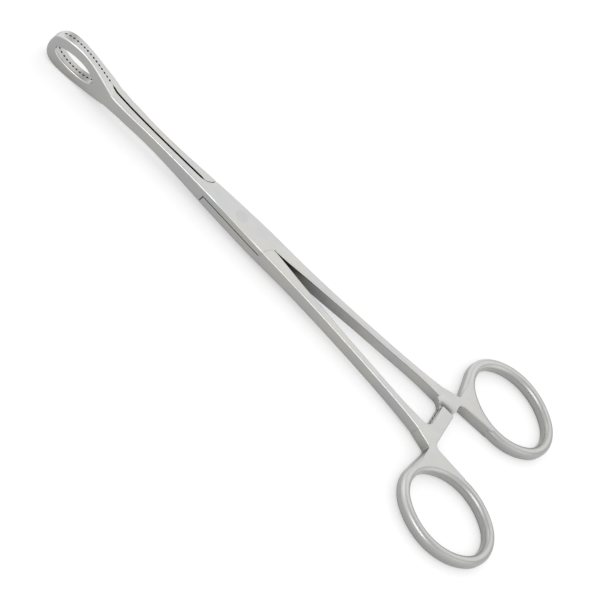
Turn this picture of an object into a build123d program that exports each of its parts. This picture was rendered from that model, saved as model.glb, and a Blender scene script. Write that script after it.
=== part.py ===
from build123d import *
import math
import os

# Sponge holding forceps, straight, 200 mm long, with fenestrated serrated jaws.
#
# The frame: X runs along the instrument from the jaws (negative) to the finger rings (positive), Z is the
# axis of the lock pin, and the closed jaws meet in the plane Y = 0. The origin is the centre of the lock. All
# sizes are in millimetres.
#
# The instrument is two forgings that cross at a lap lock, held by one pin whose ends are peened and ground
# flush. The female forging carries the jaw on the -Y side, the upper lap, and the shank and ring on the +Y
# side. The male forging is its counterpart: the jaw on the +Y side, the lower lap, and the shank and ring on
# the -Y side. Each forging is divided at plain cross-sections into jaw, lock, shank, ratchet and ring.

# Lengths along the instrument
tip_x = -76.6            # end of the closed jaws
jaw_root_x = -46.0       # cross-section where the jaw ends and the arm of the lock begins
lock_rear_x = 18.0       # cross-section where the lock ends and the shank begins
shank_end_x = 82.5       # cross-section where the shank ends and the web of the ring begins
ring_x = 104.66          # centre of a finger ring

# Cross-sections of the closed pair as forged: place along X, half width across both forgings, half thickness
body_stations = (
    (jaw_root_x, 2.80, 2.18),
    (-40.0, 2.58, 2.08),
    (-33.0, 2.46, 2.10),
    (-26.0, 2.62, 2.22),
    (-18.0, 2.97, 2.42),
    (-10.0, 3.43, 2.62),
    (0.0, 3.98, 2.66),
    (10.0, 4.46, 2.61),
    (20.0, 4.68, 2.40),
    (34.0, 5.24, 2.27),
    (50.0, 6.35, 2.17),
    (66.0, 7.80, 2.13),
    (78.0, 9.30, 2.15),
    (86.0, 10.95, 2.15),
)
edge_rounding = 0.42     # of the outer edges of arms, laps and shanks, the inner edges and the webs
lock_half_thickness = 2.55  # the lock is ground flat to this size, flush with its pin

# Jaws: a loop that stands in the XZ plane
jaw_half_height = 6.2
jaw_crown_x = -69.5      # where the loop is tallest
jaw_shoulder_x = -60.0   # a point on the taper behind the loop
jaw_shoulder_half = 5.0
jaw_neck_x = -53.0
jaw_neck_half = 2.95
jaw_thickness = 2.15     # across Y at the crown
jaw_tip_thickness = 1.15
jaw_waist_thickness = 2.25
jaw_neck_thickness = 2.92
window_x = -66.6         # centre of the oval window
window_half_length = 7.2
window_half_height = 2.65
jaw_nose = 1.3           # bluntness of the tip, seen across the instrument
jaw_back_slope = 0.9     # how fast a jaw grows thicker at its tip
root_slope = 0.06        # slope of the outline where the jaw runs into the arm
rim_from = 0.9           # edges further from the centre plane than this belong to the back
rim_margin = 1.0         # edges of the window lie this far inside the outline
tooth_reach = 0.2        # how far the grooves' tools stand out of the face
jaw_rim = 0.62           # rounding of the outer rim of the loop
window_rim = 0.45        # rounding of the window on the outer face
jaw_gap = 0.06           # between the closed jaws
arm_gap = 0.75           # between the closed arms behind the jaws
relief_x = -54.5         # where the jaw faces end
relief_run = 1.0         # length over which the face falls back to the gap between the arms
back_run_out = 0.5       # the curve of the back starts this far in front of the tip

# Serration of the jaw faces
tooth_pitch = 1.32
tooth_depth = 0.36
tooth_mouth = 0.86
first_tooth_x = -74.5
tooth_count = 15

# Lap lock
notch_x = -15.2          # root of the front shoulders, on the centre line
notch_mid_x = -13.5
notch_mid_y = 1.15
notch_edge_x = -12.2
crotch_x = 14.3          # where the shanks part, on the centre line
crotch_mid_x = 12.9
crotch_mid_y = 1.7
crotch_edge_x = 11.6
shoulder_reach = 6.0     # how far to the side the shoulder curves are drawn
seam_z = 0.35            # height of the seam between the laps
lap_gap = 0.04           # between the faces of the laps
lap_edge = 0.12          # chamfer of the laps along the seam
lap_edge_lean = 2.0      # these edges run along the instrument to within this much
front_gap = 0.34         # at the front shoulders
rear_gap = 0.06          # at the rear shoulders
notch_taper = 1.5        # length over which the gap between the arms runs into the notch

# Lock pin, peened into countersinks and ground flush
pin_radius = 1.60
pin_head_radius = 2.10
pin_head_depth = 0.50
pin_clearance = 0.03     # radial, in the male lap

# Gap between the shanks: half widths
gap_profile = ((20.0, 0.62), (27.0, 1.55), (34.0, 2.30), (50.0, 4.00), (62.0, 5.10), (74.0, 6.22))
gap_end_half = 6.40      # half width of the gap beside the ratchet
gap_parallel_x = 80.0    # from here on the inner sides run straight
gap_opening = 0.10       # slope of the inner side where the gap opens
inner_edge_min = 10.0    # edges along the gap are at least this long,
inner_edge_tilt = 0.5    # rise less than this,
inner_edge_near = 0.1    # and lie no further outside the gap than this

# Ratchet
ratchet_front_x = 85.2
ratchet_rear_x = 90.0
ratchet_root_y = 7.3     # plane where the bar grows out of the web
ratchet_ramp_y = 5.9     # foot of the ramp that leads down to the teeth
ratchet_end_y = 4.3      # end of the bar, past the centre line
ratchet_corner = 2.5     # inner corner between shank and bar
ratchet_end_corner = 0.7
ratchet_tooth_pitch = 1.9
ratchet_tooth_height = 0.5
ratchet_tooth_count = 4
ratchet_first_tooth_y = 4.1
ratchet_undercut = 0.35  # how far the steep side of a tooth leans
ratchet_gap = 0.10       # between the tips of the teeth of both bars

# Finger rings and the webs that carry them
ring_y = 25.8
ring_half_length = 16.6  # along X, to the middle of the bar
ring_end_radius = 11.0   # of the narrow ends of the oval, to the middle of the bar
ring_half_width = 13.2   # along Y, to the middle of the bar
ring_bar = 3.5           # width of the bar
ring_half_height = 2.15  # also of the web
ring_round = 1.62        # rounding of the bar, which leaves a narrow crest
ring_tilt = -1.0         # degrees
web_front_x = 80.0       # the web is drawn from here and cut off at the end of the shank
web_front_y = 9.33
web_outer_x = 88.5       # crotch between shank and ring
web_outer_y = 12.3
web_outer_corner = 1.0
brace_overlap = 1.5      # the brace from the crotch to the ring starts this far inside the web
brace_sink = 0.06        # and its faces lie this far inside those of ring and web
web_inner_y = 10.4       # inner side of the web, near the ratchet
web_inner_corner = 2.0
web_tangent_x = 103.5    # where the inner side of the web runs into the ring
web_tangent_y = 11.35

far = 60.0               # reach of cutting tools
female = -1              # side of Y on which the female forging has its jaw
male = 1


def between(x_from, x_to):
    """A block that keeps the stretch from x_from to x_to."""
    return Pos((x_from + x_to) / 2, 0, 0) * Box(x_to - x_from, 2 * far, 2 * far)


def prism(outline):
    """The region inside a closed outline of the XY plane, through the whole thickness."""
    return Pos(0, 0, -far) * extrude(make_face(outline), 2 * far)


def cross_prism(outline):
    """The region inside a closed outline of the XZ plane, through the whole width."""
    return Pos(0, far, 0) * extrude(Plane.XZ * make_face(outline), 2 * far)


def body_blank():
    """Both forgings as one closed bar, from the jaws to the webs, with the lock ground flat on both sides."""
    sections = []
    for x, half_width, half_thickness in body_stations:
        plane = Plane(origin=(x, 0, 0), x_dir=(0, 1, 0), z_dir=(1, 0, 0))
        sections.append(plane * RectangleRounded(2 * half_width, 2 * half_thickness, edge_rounding))
    return loft(sections) & Box(4 * far, 4 * far, 2 * lock_half_thickness)


def shoulder(root_x, mid_x, mid_y, edge_x, edge_y, side):
    """A shoulder of the lock, drawn from the centre line outwards."""
    root = (root_x, 0)
    middle = (mid_x, side * mid_y)
    edge = (edge_x, side * edge_y)
    return root, ThreePointArc(root, middle, edge), edge


def gap_edge(side):
    """The inner side of a shank, from the crotch to where it runs straight beside the ratchet."""
    points = [(crotch_x, 0)] + [(x, side * y) for x, y in gap_profile]
    points.append((gap_parallel_x, side * gap_end_half))
    return Spline(*points, tangents=[(1, side * gap_opening), (1, 0)]), points[0], points[-1]


def other_arm(side):
    """What the other forging takes in front of the lock, with the gap between the arms."""
    root, arc, edge = shoulder(notch_x, notch_mid_x, notch_mid_y, notch_edge_x, shoulder_reach, -side)
    gap_start = (notch_x - notch_taper, side * arm_gap / 2)
    gap_end = (-2 * far, side * arm_gap / 2)
    outer_end = (-2 * far, -side * far)
    outer_edge = (edge[0], -side * far)
    return prism([arc, Line(edge, outer_edge), Line(outer_edge, outer_end), Line(outer_end, gap_end),
                  Line(gap_end, gap_start), Line(gap_start, root)])


def other_shank(side):
    """What the other forging takes behind the lock, with the gap between the shanks."""
    root, arc, edge = shoulder(crotch_x, crotch_mid_x, crotch_mid_y, crotch_edge_x, shoulder_reach, side)
    inner, start, last = gap_edge(-side)
    gap_end = (2 * far, last[1])
    outer_end = (2 * far, side * far)
    outer_edge = (edge[0], side * far)
    return prism([arc, Line(edge, outer_edge), Line(outer_edge, outer_end), Line(outer_end, gap_end),
                  Line(gap_end, last), inner])


def lap_pocket(side):
    """Room for the other lap: the layer between the shoulders, below the upper lap or above the lower one."""
    front_root, front_arc, front_edge = shoulder(notch_x - front_gap, notch_mid_x - front_gap, notch_mid_y,
                                                 notch_edge_x - front_gap, shoulder_reach, side)
    rear_root, rear_arc, rear_edge = shoulder(crotch_x + rear_gap, crotch_mid_x + rear_gap, crotch_mid_y,
                                              crotch_edge_x + rear_gap, shoulder_reach, -side)
    front_corner = (front_root[0], -side * shoulder_reach)
    rear_corner = (rear_root[0], side * shoulder_reach)
    pocket = prism([front_arc, Line(front_root, front_corner), Line(front_corner, rear_edge), rear_arc,
                    Line(rear_root, rear_corner), Line(rear_corner, front_edge)])
    layer_z = seam_z + lap_gap / 2 - far if side == female else seam_z - lap_gap / 2 + far
    return pocket & Pos(0, 0, layer_z) * Box(4 * far, 4 * far, 2 * far)


def pin_solid(clearance=0.0):
    """The pin with its peened ends, or with a clearance, the hole that it turns in."""
    shank_r = pin_radius + clearance
    head_r = pin_head_radius + clearance
    cone_z = lock_half_thickness - pin_head_depth - clearance
    top_z = lock_half_thickness if clearance == 0 else lock_half_thickness + clearance
    half = Polyline((0, 0), (shank_r, 0), (shank_r, cone_z), (head_r, top_z), (0, top_z), close=True)
    upper = revolve(Plane.XZ * make_face(half), Axis.Z)
    return upper + mirror(upper, Plane.XY)


def inner_edges(solid, side):
    """The long edges along the gap between the shanks, on the forging whose shank lies on the given side."""
    edges = []
    for edge in solid.edges():
        box = edge.bounding_box()
        long_enough = box.size.X > inner_edge_min and box.min.X > crotch_mid_x
        inside = abs(box.max.Y if side > 0 else box.min.Y) < gap_end_half + inner_edge_near
        flat = box.size.Z < inner_edge_tilt
        if long_enough and inside and flat:
            edges.append(edge)
    return edges


def lap_edges(solid, side):
    """The long outer edges of a lap, beside the seam."""
    face_z = seam_z - side * lap_gap / 2
    edges = []
    for edge in solid.edges():
        box = edge.bounding_box()
        on_face = abs(box.min.Z - face_z) < lap_gap / 4 and abs(box.max.Z - face_z) < lap_gap / 4
        if on_face and box.size.X > inner_edge_min and box.size.Y < lap_edge_lean:
            edges.append(edge)
    return edges


def forging_body(blank, side):
    """The arm, the lap and the shank of one forging, in one piece."""
    solid = blank - other_arm(side) - other_shank(side) - lap_pocket(side)
    solid = fillet(inner_edges(solid, -side), edge_rounding)
    solid = chamfer(lap_edges(solid, side), lap_edge)
    clearance = 0.0 if side == female else pin_clearance
    return solid - pin_solid(clearance)


def loop_outline():
    """The loop of a jaw in the XZ plane, from the tip to the arm and back."""
    root_half = body_stations[0][2]
    upper = [(tip_x, 0), (jaw_crown_x, jaw_half_height), (jaw_shoulder_x, jaw_shoulder_half),
             (jaw_neck_x, jaw_neck_half), (jaw_root_x, root_half)]
    lower = [(x, -z) for x, z in upper]
    top = Spline(*upper, tangents=[(0, jaw_nose), (1, -root_slope)])
    bottom = Spline(*lower, tangents=[(0, -jaw_nose), (1, root_slope)])
    return [top, bottom, Line(upper[-1], lower[-1])]


def jaw_back(side):
    """The region between the face of a jaw and its back, seen along Z."""
    root_y = body_stations[0][1]
    tip = (tip_x - back_run_out, side * jaw_tip_thickness)
    root = (jaw_root_x, side * root_y)
    crown = (jaw_crown_x, side * jaw_thickness)
    waist = (jaw_shoulder_x, side * jaw_waist_thickness)
    neck = (jaw_neck_x, side * jaw_neck_thickness)
    slopes = [(1, side * jaw_back_slope), (1, -side * root_slope)]
    back = Spline(tip, crown, waist, neck, root, tangents=slopes)
    face_y = side * jaw_gap / 2
    gap_y = side * arm_gap / 2
    front = Polyline(root, (jaw_root_x, gap_y), (relief_x + relief_run, gap_y), (relief_x, face_y),
                     (tip[0], face_y), tip)
    return prism([back, front])


def serration(side):
    """The grooves across the face of a jaw."""
    half = tooth_mouth / 2
    slope = tooth_depth / half
    groove = Polyline((-half - tooth_reach / slope, -side * tooth_reach), (0, side * tooth_depth),
                      (half + tooth_reach / slope, -side * tooth_reach), close=True)
    cutter = Pos(0, 0, -2 * jaw_half_height) * extrude(make_face(groove), 4 * jaw_half_height)
    grooves = []
    for count in range(tooth_count):
        grooves.append(Pos(first_tooth_x + count * tooth_pitch, side * jaw_gap / 2, 0) * cutter)
    return grooves


def back_edges(solid, side, through_window):
    """The edges of a jaw's back: those of its window, or those of its outline."""
    edges = []
    for edge in solid.edges():
        box = edge.bounding_box()
        on_back = min(abs(box.min.Y), abs(box.max.Y)) > rim_from
        shorter = box.size.X < 2 * window_half_length + rim_margin
        round_window = shorter and box.min.X > tip_x + rim_margin
        if on_back and box.size.X > rim_from and round_window == through_window:
            edges.append(edge)
    return edges


def jaw(side):
    """A fenestrated jaw with its serrated face."""
    solid = cross_prism(loop_outline()) & jaw_back(side)
    oval = Plane.XZ * Ellipse(window_half_length, window_half_height)
    window = Pos(window_x, far, 0) * extrude(oval, 2 * far)
    solid = fillet(back_edges(solid, side, False), jaw_rim)
    solid = solid - window
    solid = fillet(back_edges(solid, side, True), window_rim)
    return solid - serration(side)


def oval(grow):
    """The oval of a finger ring, drawn with four arcs and grown outwards from the middle of the bar."""
    end_x = ring_half_length - ring_end_radius
    squares = end_x ** 2 + ring_half_width ** 2 - ring_end_radius ** 2
    side_radius = squares / (ring_half_width - ring_end_radius) / 2
    lean = Vector(end_x, side_radius - ring_half_width).normalized() * (ring_end_radius + grow)
    x, y = end_x + lean.X, lean.Y
    end, top = ring_half_length + grow, ring_half_width + grow
    ends = [ThreePointArc((side * x, -y), (side * end, 0), (side * x, y)) for side in (-1, 1)]
    sides = [ThreePointArc((-x, side * y), (0, side * top), (x, side * y)) for side in (-1, 1)]
    return make_face(ends + sides)


def at_ring(side):
    """The place of a finger ring."""
    return Pos(ring_x, side * ring_y, 0) * Rot(0, 0, side * ring_tilt)


def ring(side):
    """A finger ring: a rounded bar bent to an oval."""
    bar = extrude(oval(ring_bar / 2) - oval(-ring_bar / 2), 2 * ring_half_height)
    bar = fillet([edge for edge in bar.edges() if edge.bounding_box().size.Z < ring_round], ring_round)
    return at_ring(side) * Pos(0, 0, -ring_half_height) * bar


def ring_core(side):
    """Everything inside the middle line of a ring's bar."""
    return at_ring(side) * Pos(0, 0, -far) * extrude(oval(0), 2 * far)


def brace_line():
    """The middle line of the brace, from inside the web past the crotch to where it touches the ring."""
    crotch = Vector(web_outer_x, web_outer_y)
    radius = ring_end_radius + ring_bar / 2
    to_centre = Vector(ring_x - ring_half_length + ring_end_radius, ring_y) - crotch
    turn = math.degrees(math.asin(radius / to_centre.length))
    forward = to_centre.rotate(Axis.Z, turn).normalized()
    inward = forward.rotate(Axis.Z, -90) * (ring_bar / 2 + brace_sink)
    reach = math.sqrt(to_centre.length ** 2 - radius ** 2)
    return crotch + inward - forward * brace_overlap, crotch + inward + forward * reach


def brace(side):
    """The rounded bar along the side of the web, from the crotch to the ring."""
    start, end = brace_line()
    bar = Box((end - start).length, ring_bar, 2 * (ring_half_height - brace_sink))
    bar = fillet(bar.edges().filter_by(Axis.X), ring_round)
    angle = math.degrees(math.atan2(end.Y - start.Y, end.X - start.X))
    middle = (start + end) / 2
    return Pos(middle.X, side * middle.Y, 0) * Rot(0, 0, side * angle) * bar


def web_blank(side):
    """The plate that joins shank, ratchet bar and ring, with the ratchet bar at full thickness."""
    brace_end = brace_line()[1]
    outline = Polyline(
        (web_front_x, side * gap_end_half), (ratchet_front_x, side * gap_end_half),
        (ratchet_front_x, -side * ratchet_end_y), (ratchet_rear_x, -side * ratchet_end_y),
        (ratchet_rear_x, side * web_inner_y), (web_tangent_x, side * web_tangent_y),
        (ring_x, side * ring_y), (brace_end.X, side * brace_end.Y), (web_outer_x, side * web_outer_y),
        (web_front_x, side * web_front_y), close=True)
    face = make_face(outline)
    rounding = (
        (ratchet_front_x, gap_end_half, ratchet_corner),
        (ratchet_front_x, -ratchet_end_y, ratchet_end_corner),
        (ratchet_rear_x, -ratchet_end_y, ratchet_end_corner),
        (ratchet_rear_x, web_inner_y, web_inner_corner),
        (web_outer_x, web_outer_y, web_outer_corner),
    )
    for x, y, radius in rounding:
        corner = face.vertices().sort_by_distance((x, side * y, 0))[0]
        face = fillet(corner, radius)
    plate = Pos(0, 0, -ring_half_height) * extrude(face, 2 * ring_half_height)
    rims = [edge for edge in plate.edges() if edge.bounding_box().size.Z < edge_rounding]
    return fillet(rims, edge_rounding)


def ratchet(side, plate):
    """The ratchet bar: half as thick as its web, with a ramp and saw teeth towards the other bar."""
    bar = plate & prism(Polyline((shank_end_x, side * ratchet_root_y), (far * 2, side * ratchet_root_y),
                                 (far * 2, -side * far), (shank_end_x, -side * far), close=True))
    # the teeth of the female bar look up, those of the male bar down
    up = 1 if side == -female else -1
    tip_z = -ratchet_gap / 2
    points = [(ratchet_root_y, ring_half_height), (ratchet_ramp_y, tip_z)]
    tooth_y = ratchet_first_tooth_y
    for count in range(ratchet_tooth_count):
        points.append((tooth_y, tip_z))
        points.append((tooth_y - ratchet_undercut, tip_z - ratchet_tooth_height))
        tooth_y -= ratchet_tooth_pitch
    points.append((tooth_y, tip_z))
    points += [(-far, tip_z), (-far, far), (ratchet_root_y, far)]
    outline = Polyline([(side * y, up * z) for y, z in points], close=True)
    above = Pos(far, 0, 0) * extrude(Plane.YZ * make_face(outline), 2 * far, both=True)
    return bar - above


def ring_with_web(side, plate):
    """A finger ring with the part of the web that belongs to it."""
    corner = Pos(shank_end_x + far, side * (ratchet_root_y + far), 0) * Box(2 * far, 2 * far, 2 * far)
    web = (plate & corner) + brace(side) - ring_core(side)
    return ring(side) + web


def forging(name, side, blank):
    """One forging as named stretches that meet face to face."""
    body = forging_body(blank, side)
    plate = web_blank(-side)
    return {
        f"{name}_jaw": jaw(side),
        f"{name}_lock": body & between(jaw_root_x, lock_rear_x),
        f"{name}_shank": body & between(lock_rear_x, shank_end_x),
        f"{name}_ratchet": ratchet(-side, plate),
        f"{name}_ring": ring_with_web(-side, plate),
    }


def main():
    """Build every stretch of both forgings and the pin, and write each one to its own file."""
    os.makedirs("parts", exist_ok=True)
    blank = body_blank()
    parts = forging("female", female, blank)
    parts.update(forging("male", male, blank))
    parts["lock_pin"] = pin_solid()
    for node, solid in parts.items():
        export_step(solid, f"parts/{node}.step")


main()
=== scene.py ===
"""A pair of sponge holding forceps in satin steel, lying closed on a pale studio floor.

Lengths are in metres. X runs from the jaws to the finger rings, and Z upwards.
"""
from __future__ import annotations

import logging
import math
from dataclasses import dataclass, field, replace
from enum import Enum

import bpy
from mathutils import Matrix, Vector

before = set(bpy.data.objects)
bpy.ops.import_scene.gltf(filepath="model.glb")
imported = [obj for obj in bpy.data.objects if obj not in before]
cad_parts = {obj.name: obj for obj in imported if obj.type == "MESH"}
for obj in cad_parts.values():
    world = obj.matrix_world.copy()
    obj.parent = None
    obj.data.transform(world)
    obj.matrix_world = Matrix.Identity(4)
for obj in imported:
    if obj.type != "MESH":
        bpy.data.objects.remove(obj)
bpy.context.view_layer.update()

log = logging.getLogger("forceps")

Socket = bpy.types.NodeSocket
Colour = tuple[float, float, float]
Span = tuple[float, float]

MM = 0.001
WHITE = (1.0, 1.0, 1.0)


class Side(Enum):
    """The two forgings, named by the lap that they carry."""

    FEMALE = "female"
    MALE = "male"


class Stretch(Enum):
    """The stretches into which each forging is divided."""

    JAW = "jaw"
    LOCK = "lock"
    SHANK = "shank"
    RATCHET = "ratchet"
    RING = "ring"


class Blend(Enum):
    """What a mix node mixes, with the places of its two inputs and of its output."""

    NUMBERS = ("FLOAT", (2, 3), 0)
    COLOURS = ("RGBA", (6, 7), 2)


@dataclass(frozen=True)
class Pattern:
    """A noise: its features per metre, and how many finer layers it has."""

    per_m: float
    detail: float


@dataclass
class Wiring:
    """Adds nodes to one node tree and joins them up."""

    tree: bpy.types.NodeTree

    def add(self, kind: str) -> bpy.types.Node:
        """Add a node of the named kind and return it."""
        return self.tree.nodes.new(kind)

    def feed(self, value: Socket | Colour | float, socket: Socket) -> None:
        """Give a socket its value.

        Args:
            value: A number, a colour, or the socket that gives one.
            socket: The socket that takes it.
        """
        if isinstance(value, float):
            socket.default_value = value
        elif isinstance(value, tuple):
            socket.default_value = (*value, 1.0)
        else:
            self.tree.links.new(value, socket)

    def maths(self, operation: str, *values: Socket | float) -> Socket:
        """Add one sum.

        Args:
            operation: Name of the sum.
            values: The numbers or sockets that go into it.

        Returns:
            The result.
        """
        node = self.add("ShaderNodeMath")
        node.operation = operation
        for value, socket in zip(values, node.inputs):
            self.feed(value, socket)
        return node.outputs[0]

    def mix(self, blend: Blend, share: Socket | float, *values: Socket | Colour | float) -> Socket:
        """Mix two numbers or two colours.

        Args:
            blend: Whether numbers or colours are mixed.
            share: Share of the second one.
            values: The two numbers or colours, or sockets that give them.

        Returns:
            The mixed number or colour.
        """
        kind, places, result = blend.value
        node = self.add("ShaderNodeMix")
        node.data_type = kind
        self.feed(share, node.inputs[0])
        for value, place in zip(values, places):
            self.feed(value, node.inputs[place])
        return node.outputs[result]

    def spread(self, value: Socket, source: Span, target: Span = (0.0, 1.0)) -> Socket:
        """Stretch part of a value's range.

        Args:
            value: The value.
            source: What becomes the first and the last of the target.
            target: The range of the result.

        Returns:
            The stretched value, which stays within the target.
        """
        node = self.add("ShaderNodeMapRange")
        names = ("From Min", "From Max", "To Min", "To Max")
        for name, number in zip(names, (*source, *target)):
            self.feed(number, node.inputs[name])
        self.feed(value, node.inputs["Value"])
        return node.outputs["Result"]

    def noise(self, place: Socket, pattern: Pattern) -> Socket:
        """Add a noise texture.

        Args:
            place: The coordinates that the noise follows.
            pattern: How fine the noise is.

        Returns:
            The noise factor.
        """
        node = self.add("ShaderNodeTexNoise")
        self.feed(pattern.per_m, node.inputs["Scale"])
        self.feed(pattern.detail, node.inputs["Detail"])
        self.feed(place, node.inputs["Vector"])
        return node.outputs["Fac"]

    def coordinate(self, vector: Socket, axis: str) -> Socket:
        """Take one coordinate of a vector.

        Args:
            vector: The vector.
            axis: X, Y or Z.

        Returns:
            The coordinate.
        """
        node = self.add("ShaderNodeSeparateXYZ")
        self.feed(vector, node.inputs[0])
        return node.outputs[axis]

    def levelness(self) -> Socket:
        """Return 1 on a face that lies flat and 0 on an upright one."""
        normal = self.add("ShaderNodeNewGeometry").outputs["Normal"]
        return self.maths("ABSOLUTE", self.coordinate(normal, "Z"))

    def seen_directly(self) -> Socket:
        """Tell the rays that show the pale surroundings as they are.

        Returns:
            1 for what the camera sees and for what metal or glass shows of it, and 0 for the
            light that falls on things.
        """
        rays = self.add("ShaderNodeLightPath").outputs
        either = self.maths("MAXIMUM", rays["Is Camera Ray"], rays["Is Glossy Ray"])
        return self.maths("MAXIMUM", either, rays["Is Transmission Ray"])


@dataclass(frozen=True)
class Hollow:
    """A size of groove or gap, found by how much of the sky a point sees; the steel is darkened
    there, and in the wide gaps this is painted shade.

    Attributes:
        reach: How far away a wall still hides the sky.
        closed: Share of the sky seen where the surface is darkest.
        open: Share of the sky from which a surface counts as open.
    """

    reach: float
    closed: float
    open: float


@dataclass(frozen=True)
class Seam:
    """The dark line on the side walls where the two laps meet.

    Attributes:
        front_x: Where the line starts.
        rear_x: Where it ends.
        height: Height of its middle.
        half_width: Half its width.
        flat: Levelness from which a face is too flat to carry it.
    """

    front_x: float = -12.3 * MM
    rear_x: float = 11.7 * MM
    height: float = 0.35 * MM
    half_width: float = 0.16 * MM
    flat: float = 0.9


@dataclass(frozen=True)
class EdgePolishAndHighlight:
    """The brighter steel of the rounded edges: partly polish from handling, partly a painted
    highlight.

    Attributes:
        colour: The steel of polish and painted highlight.
        share: How much of that colour shows.
        upright: Levelness over which the polish sets in above the side walls.
        level: Levelness over which it sets in below the flat faces.
    """

    colour: Colour = (0.74, 0.74, 0.735)
    share: float = 0.8
    upright: Span = (0.25, 0.55)
    level: Span = (0.97, 0.80)


@dataclass(frozen=True)
class DullRings:
    """The duller steel of the finger rings, which sets in gradually along the webs.

    Attributes:
        along_x: Where it sets in and where it is fully there.
        colour: The dull steel.
        share: How much of that colour shows.
        polish_and_highlight_left: The share of the edges' polish and painted highlight that the
            rings keep.
    """

    along_x: Span = (84.0 * MM, 99.0 * MM)
    colour: Colour = (0.346, 0.345, 0.338)
    share: float = 0.7
    polish_and_highlight_left: float = 0.2


@dataclass(frozen=True)
class SteelFinish:
    """Stainless steel with a fine blasted grain, faint polishing lines, edges lightened by polish
    and painted highlight, dark crevices and painted shade in wide gaps.
    """

    name: str
    colour: Colour
    warm_colour: Colour
    drift_pattern: Pattern = Pattern(per_m=70.0, detail=2.0)
    drift_span: Span = (0.40, 0.60)
    edges: EdgePolishAndHighlight = EdgePolishAndHighlight()
    rings: DullRings = DullRings()
    seam: Seam | None = None
    # Near-black for the lap seam, for the narrow grooves, and as painted shade deep in the wide
    # gaps.
    crevice_and_shade_colour: Colour = (0.01, 0.01, 0.0095)
    groove: Hollow = Hollow(reach=0.35 * MM, closed=0.38, open=0.76)
    gap_shade: Hollow = Hollow(reach=9.0 * MM, closed=0.05, open=0.60)
    sky_samples: int = 6
    roughness_span: Span = (0.26, 0.38)
    uneven_span: Span = (0.3, 0.7)
    uneven_pattern: Pattern = Pattern(per_m=260.0, detail=3.0)
    line_share: float = 0.5
    line_pattern: Pattern = Pattern(per_m=2500.0, detail=5.0)
    line_stretch: tuple[float, float, float] = (0.06, 1.0, 1.0)
    line_bump: float = 0.05
    line_depth: float = 0.05 * MM
    grain_pattern: Pattern = Pattern(per_m=5200.0, detail=3.0)
    grain_bump: float = 0.22
    grain_depth: float = 0.03 * MM

    def build(self) -> bpy.types.Material:
        """Make the node material.

        Returns:
            The finished material.
        """
        material = bpy.data.materials.new(self.name)
        material.use_nodes = True
        wiring = Wiring(material.node_tree)
        shader = wiring.tree.nodes["Principled BSDF"].inputs
        place = wiring.add("ShaderNodeTexCoord").outputs["Object"]
        lines = self.lines(wiring, place)
        grain = wiring.noise(place, self.grain_pattern)
        wiring.feed(1.0, shader["Metallic"])
        wiring.feed(self.colours(wiring, place), shader["Base Color"])
        wiring.feed(self.roughness(wiring, place, lines), shader["Roughness"])
        wiring.feed(self.bump(wiring, lines, grain), shader["Normal"])
        return material

    def lines(self, wiring: Wiring, place: Socket) -> Socket:
        """Add the faint polishing lines, which run along the instrument.

        Args:
            wiring: The material's wiring.
            place: Object coordinates.

        Returns:
            The factor of the lines.
        """
        mapping = wiring.add("ShaderNodeMapping")
        mapping.inputs["Scale"].default_value = self.line_stretch
        wiring.feed(place, mapping.inputs["Vector"])
        return wiring.noise(mapping.outputs["Vector"], self.line_pattern)

    def colours(self, wiring: Wiring, place: Socket) -> Socket:
        """Mix the steel's colour: slow drifts, duller rings, edges lightened by polish and painted
        highlight, dark crevices and painted shade in wide gaps.

        Args:
            wiring: The material's wiring.
            place: Object coordinates.

        Returns:
            The colour.
        """
        warm = wiring.spread(wiring.noise(place, self.drift_pattern), self.drift_span)
        steel = wiring.mix(Blend.COLOURS, warm, self.colour, self.warm_colour)
        rearward = wiring.spread(wiring.coordinate(place, "X"), self.rings.along_x)
        dull = wiring.maths("MULTIPLY", rearward, self.rings.share)
        steel = wiring.mix(Blend.COLOURS, dull, steel, self.rings.colour)
        # The rounded edges lighten: partly polish, partly a painted highlight.
        polish_and_highlight = self.polish_and_highlight(wiring, rearward)
        steel = wiring.mix(Blend.COLOURS, polish_and_highlight, steel, self.edges.colour)
        # Painted shade: the steel turns near-black deep in the wide gaps between the halves;
        # narrow grooves darken the same way.
        hollows = (self.openness(wiring, hollow) for hollow in (self.groove, self.gap_shade))
        lit = wiring.maths("MULTIPLY", *hollows)
        steel = wiring.mix(Blend.COLOURS, lit, self.crevice_and_shade_colour, steel)
        if self.seam:
            dark = self.seam_line(wiring, place)
            steel = wiring.mix(Blend.COLOURS, dark, steel, self.crevice_and_shade_colour)
        return steel

    def polish_and_highlight(self, wiring: Wiring, rearward: Socket) -> Socket:
        """Find the rounded edges, which face neither straight up nor straight sideways, for polish
        and a painted highlight.

        Args:
            wiring: The material's wiring.
            rearward: 0 on the body and 1 on the rings, whose round bars have no edges.

        Returns:
            The share of polish, greatest halfway round an edge.
        """
        level = wiring.levelness()
        tilted = wiring.spread(level, self.edges.upright)
        band = wiring.maths("MULTIPLY", tilted, wiring.spread(level, self.edges.level))
        on_rings = self.edges.share * self.rings.polish_and_highlight_left
        share = wiring.mix(Blend.NUMBERS, rearward, self.edges.share, on_rings)
        return wiring.maths("MULTIPLY", band, share)

    def openness(self, wiring: Wiring, hollow: Hollow) -> Socket:
        """Tell open surfaces from the walls of grooves and gaps, where the steel is darkened, in
        the wide gaps as painted shade.

        Args:
            wiring: The material's wiring.
            hollow: The size of groove or gap that is looked for.

        Returns:
            1 on open surfaces and 0 deep inside a groove or gap.
        """
        sky = wiring.add("ShaderNodeAmbientOcclusion")
        sky.samples = self.sky_samples
        wiring.feed(hollow.reach, sky.inputs["Distance"])
        return wiring.spread(sky.outputs["AO"], (hollow.closed, hollow.open))

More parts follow.
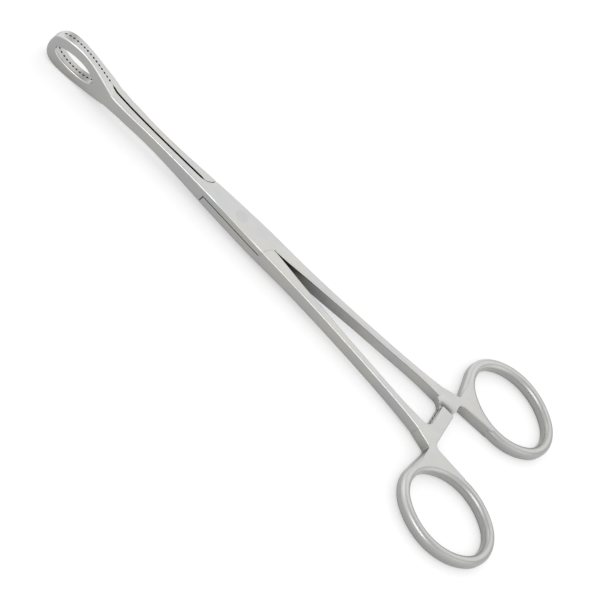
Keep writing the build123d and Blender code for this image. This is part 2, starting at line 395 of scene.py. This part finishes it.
    def seam_line(self, wiring: Wiring, place: Socket) -> Socket:
        """Find the strip along the edges of the laps, but not the flat faces that meet there.

        Args:
            wiring: The material's wiring.
            place: Object coordinates.

        Returns:
            1 in the strip and 0 elsewhere.
        """
        along = wiring.coordinate(place, "X")
        behind = wiring.maths("GREATER_THAN", along, self.seam.front_x)
        before = wiring.maths("LESS_THAN", along, self.seam.rear_x)
        above = wiring.maths("SUBTRACT", wiring.coordinate(place, "Z"), self.seam.height)
        near = wiring.maths("LESS_THAN", wiring.maths("ABSOLUTE", above), self.seam.half_width)
        steep = wiring.maths("LESS_THAN", wiring.levelness(), self.seam.flat)
        strip = wiring.maths("MULTIPLY", near, wiring.maths("MULTIPLY", behind, before))
        return wiring.maths("MULTIPLY", strip, steep)

    def roughness(self, wiring: Wiring, place: Socket, lines: Socket) -> Socket:
        """Mix the roughness from patches of uneven blasting and the polishing lines.

        Args:
            wiring: The material's wiring.
            place: Object coordinates.
            lines: The factor of the polishing lines.

        Returns:
            The roughness.
        """
        patches = wiring.noise(place, self.uneven_pattern)
        uneven = wiring.mix(Blend.NUMBERS, self.line_share, patches, lines)
        return wiring.spread(uneven, self.uneven_span, self.roughness_span)

    def bump(self, wiring: Wiring, lines: Socket, grain: Socket) -> Socket:
        """Raise the polishing lines, and the grain on top of them.

        Args:
            wiring: The material's wiring.
            lines: The factor of the polishing lines.
            grain: The factor of the blasted grain.

        Returns:
            The normal.
        """
        coarse = wiring.add("ShaderNodeBump")
        fine = wiring.add("ShaderNodeBump")
        for node, strength, depth, height in (
            (coarse, self.line_bump, self.line_depth, lines),
            (fine, self.grain_bump, self.grain_depth, grain),
        ):
            wiring.feed(strength, node.inputs["Strength"])
            wiring.feed(depth, node.inputs["Distance"])
            wiring.feed(height, node.inputs["Height"])
        wiring.feed(coarse.outputs["Normal"], fine.inputs["Normal"])
        return fine.outputs["Normal"]


BODY_STEEL = SteelFinish(
    "body_steel", colour=(0.374, 0.375, 0.377), warm_colour=(0.392, 0.388, 0.369))
LOCK_STEEL = replace(BODY_STEEL, name="lock_steel", seam=Seam())
PIN_STEEL = SteelFinish(
    "pin_steel", colour=(0.352, 0.352, 0.354), warm_colour=(0.372, 0.367, 0.352),
    edges=EdgePolishAndHighlight(share=0.0))


def dress_node(name: str, finish: SteelFinish) -> bpy.types.Object:
    """Assign a finish to every material slot of a node.

    Args:
        name: The node's name.
        finish: The finish that it takes.

    Returns:
        The dressed node.
    """
    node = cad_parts[name]
    material = bpy.data.materials.get(finish.name) or finish.build()
    for slot in node.material_slots:
        slot.material = material
    return node


@dataclass
class Forging:
    """One half of the instrument: jaw, lap, shank, ratchet bar and finger ring."""

    side: Side
    finish: SteelFinish = BODY_STEEL
    lock_finish: SteelFinish = LOCK_STEEL

    def dress(self) -> list[bpy.types.Object]:
        """Give each stretch its finish.

        Returns:
            The dressed nodes.
        """
        dressed = []
        for stretch in Stretch:
            finish = self.lock_finish if stretch is Stretch.LOCK else self.finish
            dressed.append(dress_node(f"{self.side.value}_{stretch.value}", finish))
        return dressed


@dataclass
class LockPin:
    """The pin that holds the laps, peened and ground flush."""

    finish: SteelFinish = PIN_STEEL

    def dress(self) -> bpy.types.Object:
        """Give the pin its finish and return it."""
        return dress_node("lock_pin", self.finish)


@dataclass
class Instrument:
    """The whole pair of forceps."""

    halves: list[Forging] = field(default_factory=lambda: [Forging(side) for side in Side])
    pin: LockPin = field(default_factory=LockPin)

    def build(self) -> list[bpy.types.Object]:
        """Dress both halves and the pin, and return all their nodes."""
        return [node for half in self.halves for node in half.dress()] + [self.pin.dress()]


@dataclass
class Floor:
    """A pale floor that touches the crowns of the jaws and the undersides of the rings."""

    front_x: float = -69.5 * MM
    front_z: float = -6.28 * MM
    rear_x: float = 120.6 * MM
    rear_z: float = -2.17 * MM
    size: float = 6.0
    own_colour: Colour = (0.56, 0.56, 0.56)
    seen_colour: Colour = (0.60, 0.60, 0.60)
    glow: float = 0.52

    def build(self) -> bpy.types.Object:
        """Make the floor.

        Returns:
            The floor's object.
        """
        slope = math.atan2(self.rear_z - self.front_z, self.rear_x - self.front_x)
        half = self.size / 2
        corners = [(-half, -half, 0), (half, -half, 0), (half, half, 0), (-half, half, 0)]
        mesh = bpy.data.meshes.new("floor")
        mesh.from_pydata(corners, [], [(0, 1, 2, 3)])
        mesh.materials.append(self.paint())
        floor = bpy.data.objects.new("floor", mesh)
        floor.location = (self.front_x, 0, self.front_z)
        floor.rotation_euler = (0, -slope, 0)
        bpy.context.scene.collection.objects.link(floor)
        return floor

    def paint(self) -> bpy.types.Material:
        """Make the floor's matt paint, which glows just enough for the camera to see white.

        Returns:
            The material.
        """
        material = bpy.data.materials.new("floor_paint")
        material.use_nodes = True
        wiring = Wiring(material.node_tree)
        shader = wiring.tree.nodes["Principled BSDF"].inputs
        seen = wiring.seen_directly()
        colour = wiring.mix(Blend.COLOURS, seen, self.own_colour, self.seen_colour)
        wiring.feed(colour, shader["Base Color"])
        wiring.feed(1.0, shader["Roughness"])
        wiring.feed(0.0, shader["Specular IOR Level"])
        wiring.feed(WHITE, shader["Emission Color"])
        wiring.feed(wiring.maths("MULTIPLY", seen, self.glow), shader["Emission Strength"])
        return material


@dataclass
class Lamp:
    """A large soft lamp: angles in degrees, lengths in metres and power in watts."""

    name: str
    azimuth: float
    elevation: float
    distance: float
    width: float
    power: float

    def build(self, target: Vector) -> bpy.types.Object:
        """Hang the lamp.

        Args:
            target: The point that it is aimed at.

        Returns:
            The lamp's object.
        """
        data = bpy.data.lights.new(self.name, "AREA")
        data.shape = "DISK"
        data.size = self.width
        data.energy = self.power
        lamp = bpy.data.objects.new(self.name, data)
        around, up = math.radians(self.azimuth), math.radians(self.elevation)
        level = math.cos(up)
        outward = Vector((math.sin(around) * level, math.cos(around) * level, math.sin(up)))
        lamp.location = target + outward * self.distance
        lamp.rotation_euler = outward.to_track_quat("Z", "Y").to_euler()
        bpy.context.scene.collection.objects.link(lamp)
        return lamp


@dataclass
class Studio:
    """The lamps, aimed near the middle of the instrument, and the surroundings."""

    aim_x: float = 20.0 * MM
    world_level: float = 0.62
    seen_level: float = 1.0
    lamps: tuple[Lamp, ...] = (
        Lamp("back_lamp", azimuth=12.0, elevation=46.0, distance=1.6, width=1.5, power=4.4),
        Lamp("left_lamp", azimuth=-80.0, elevation=48.0, distance=1.8, width=1.1, power=1.5),
        Lamp("right_lamp", azimuth=95.0, elevation=48.0, distance=1.8, width=1.1, power=1.5),
        Lamp("front_lamp", azimuth=188.0, elevation=47.0, distance=1.6, width=0.8, power=4.2),
    )

    def build(self) -> list[bpy.types.Object]:
        """Light the scene.

        Returns:
            The lamps' objects.
        """
        world = bpy.data.worlds.new("studio")
        world.use_nodes = True
        wiring = Wiring(world.node_tree)
        air = wiring.tree.nodes["Background"].inputs
        seen = wiring.seen_directly()
        level = wiring.mix(Blend.NUMBERS, seen, self.world_level, self.seen_level)
        wiring.feed(level, air["Strength"])
        wiring.feed(WHITE, air["Color"])
        bpy.context.scene.world = world
        target = Vector((self.aim_x, 0, 0))
        return [lamp.build(target) for lamp in self.lamps]


@dataclass
class PhotoCamera:
    """The camera at the photograph's viewing angle."""

    place: tuple[float, float, float] = (-52.69 * MM, -422.55 * MM, 419.29 * MM)
    right: tuple[float, float, float] = (0.70202, 0.43057, 0.56725)
    down: tuple[float, float, float] = (0.69858, -0.57118, -0.43099)
    forward: tuple[float, float, float] = (0.13843, 0.69883, -0.70176)
    lens_mm: float = 119.459
    sensor_mm: float = 36.0
    nearest: float = 10.0 * MM

    def build(self) -> bpy.types.Object:
        """Set up the camera.

        Returns:
            The camera's object.
        """
        data = bpy.data.cameras.new("camera")
        data.lens = self.lens_mm
        data.sensor_width = self.sensor_mm
        data.clip_start = self.nearest
        camera = bpy.data.objects.new("camera", data)
        up, back = [-v for v in self.down], [-v for v in self.forward]
        axes = Matrix((self.right, up, back)).transposed()
        camera.matrix_world = Matrix.Translation(self.place) @ axes.to_4x4()
        bpy.context.scene.collection.objects.link(camera)
        bpy.context.scene.camera = camera
        return camera


def main() -> None:
    """Build the scene in order and report each piece."""
    logging.basicConfig(level=logging.INFO, format="%(name)s: %(message)s")
    bpy.context.scene.view_settings.view_transform = "Standard"
    pieces = Instrument().build()
    pieces += [Floor().build(), *Studio().build(), PhotoCamera().build()]
    for piece in pieces:
        log.info("in place: %s", piece.name)


if __name__ == "__main__":
    main()
